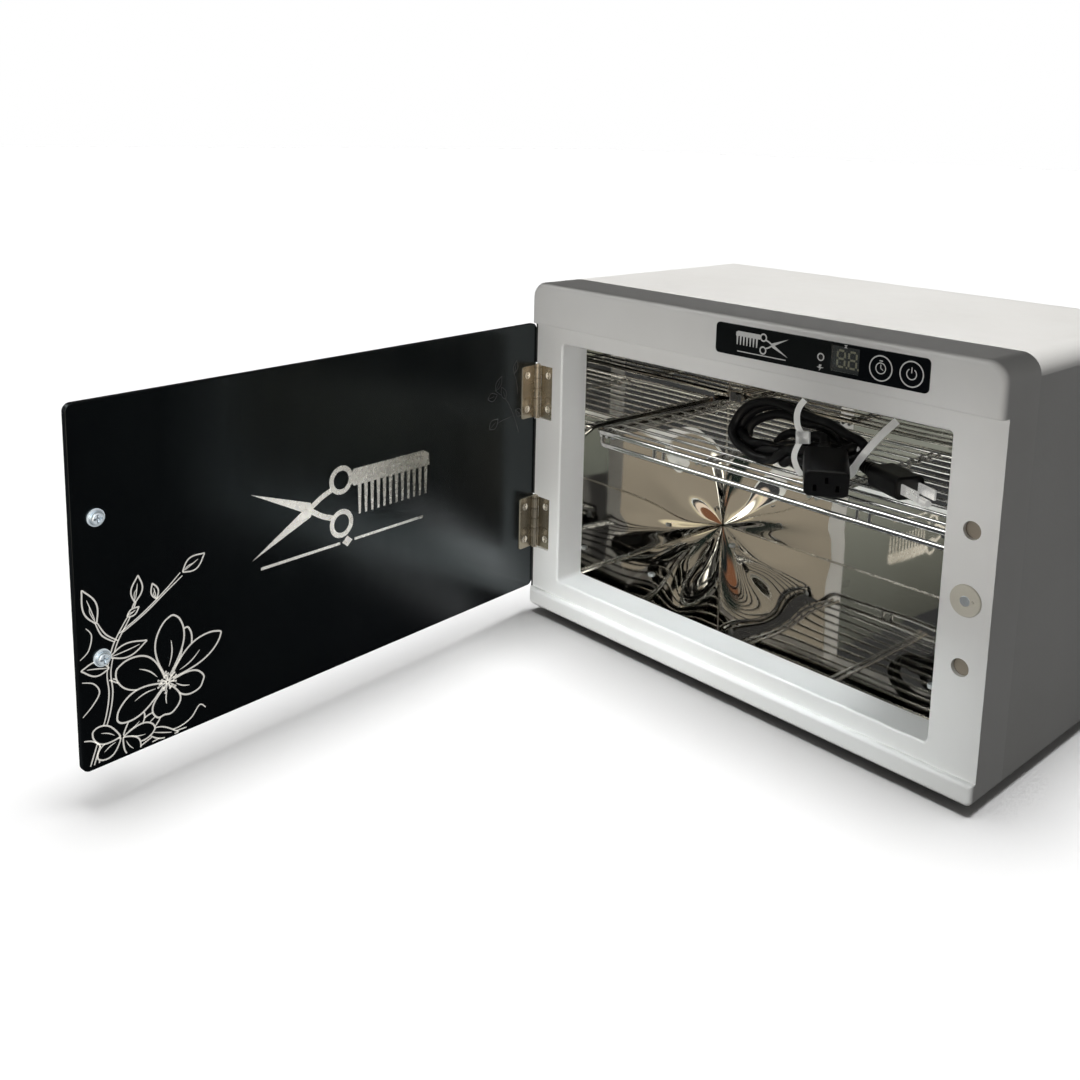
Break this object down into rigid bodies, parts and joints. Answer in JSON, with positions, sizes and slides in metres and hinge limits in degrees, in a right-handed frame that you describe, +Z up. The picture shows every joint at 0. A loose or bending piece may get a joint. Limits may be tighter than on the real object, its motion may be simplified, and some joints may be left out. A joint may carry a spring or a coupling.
{
  "type": "uv sterilizer cabinet",
  "caption": "Tabletop steel cabinet with a hinged glossy door, mirrored chamber, wire shelf, tube lamp and a keypad strip in the header.",
  "frame": {"origin": "middle of the case underside, on the face of the pressed base pan; the feet reach 6.2 mm below it", "axes": "+Z up, +Y to the back of the cabinet, the door side faces -Y, +X to the right seen from the front"},
  "size_m": [0.3754, 0.588, 0.26],
  "materials": {
    "white_abs": "satin moulded white",
    "white_steel": "fine powder coat, white",
    "galvanised_steel": "zinc coated sheet",
    "zinc_screw": "bright zinc plate",
    "black_rubber": "matte",
    "mirror_steel": "mirror-polished stainless sheet",
    "chrome_wire": "bright chrome plate",
    "lamp_glass": "clear quartz glass",
    "lamp_aluminium": "satin",
    "brass_contact": "bright nickel over brass",
    "black_nylon": "moulded",
    "wire_pvc": "flexible insulation",
    "gloss_black": "high gloss",
    "smoked_window": "smoked clear",
    "board_green": "solder mask",
    "segment_olive": "unlit display segment",
    "led_lens": "diffused lens",
    "hinge_nickel": "nickel plated, slightly warm",
    "door_black": "back-painted glossy panel",
    "cream_plastic": "moulded cream",
    "cord_black": "soft PVC, slight sheen",
    "tie_nylon": "natural nylon"
  },
  "bodies": {
    "cabinet": {"front_frame": "white_abs", "case_shell": "white_steel", "back_panel": "white_steel", "base_plate": "galvanised_steel", "case_screws": "zinc_screw", "rubber_feet": "black_rubber", "foot_screws": "zinc_screw", "chamber_liner": "mirror_steel", "chamber_back": "mirror_steel", "chamber_bearers": "galvanised_steel", "chamber_screws": "zinc_screw", "shelf_rail_left": "mirror_steel", "shelf_rail_right": "mirror_steel", "rail_rivets": "zinc_screw", "uv_lamp_tube": "lamp_glass", "lamp_end_caps": "lamp_aluminium", "lamp_pins": "brass_contact", "lamp_holders": "white_abs", "lamp_ballast": "white_abs", "ballast_screws": "zinc_screw", "power_inlet": "black_nylon", "inlet_contacts": "brass_contact", "inlet_screws": "zinc_screw", "mains_wires": "wire_pvc", "lamp_wires": "wire_pvc", "control_cable": "wire_pvc", "control_strip": "gloss_black", "display_window": "smoked_window", "key_switches": "black_nylon", "control_board": "board_green", "board_screws": "zinc_screw", "board_components": "black_nylon", "display_module": "black_nylon", "display_segments": "segment_olive", "power_led": "led_lens", "hinge_lower_frame_leaf": "hinge_nickel", "hinge_lower_pin": "hinge_nickel", "hinge_upper_frame_leaf": "hinge_nickel", "hinge_upper_pin": "hinge_nickel", "hinge_frame_screws": "hinge_nickel", "catch_cap": "cream_plastic", "catch_magnet": "zinc_screw", "door_switch": "black_nylon"},
    "door": {"door_panel": "door_black", "door_handle": "chrome_wire", "handle_backplate": "chrome_wire", "handle_screws": "zinc_screw", "hinge_lower_door_leaf": "hinge_nickel", "hinge_upper_door_leaf": "hinge_nickel", "hinge_door_screws": "hinge_nickel"},
    "shelf": {"wire_shelf": "chrome_wire", "power_cord": "cord_black", "cord_connector": "cord_black", "cord_plug": "cord_black", "plug_blades": "brass_contact", "cable_ties": "tie_nylon"},
    "timer_button": {"timer_key": "gloss_black"},
    "power_button": {"power_key": "gloss_black"},
    "timer_plunger": {"timer_switch_plunger": "black_nylon"},
    "power_plunger": {"power_switch_plunger": "black_nylon"}
  },
  "joints": [
    {"name": "door_hinge", "type": "hinge", "parent": "cabinet", "child": "door", "pos_m": [-0.184, -0.1059, 0.117], "axis": [0, 0, -1], "range_deg": [-83.25, 46.75]},
    {"name": "shelf_slide", "type": "slide", "parent": "cabinet", "child": "shelf", "axis": [0, -1, 0], "range_m": [0, 0.008]},
    {"name": "timer_key_press", "type": "slide", "parent": "cabinet", "child": "timer_button", "axis": [0, 1, 0], "range_m": [0, 0.0005], "stiffness_N_per_m": 800},
    {"name": "power_key_press", "type": "slide", "parent": "cabinet", "child": "power_button", "axis": [0, 1, 0], "range_m": [0, 0.0005], "stiffness_N_per_m": 800},
    {"name": "timer_plunger_press", "type": "slide", "parent": "cabinet", "child": "timer_plunger", "axis": [0, 1, 0], "range_m": [0, 0.0005]},
    {"name": "power_plunger_press", "type": "slide", "parent": "cabinet", "child": "power_plunger", "axis": [0, 1, 0], "range_m": [0, 0.0005]}
  ],
  "couplings": [
    {"joint": "timer_plunger_press", "follows": "timer_key_press", "ratio": 1},
    {"joint": "power_plunger_press", "follows": "power_key_press", "ratio": 1}
  ]
}
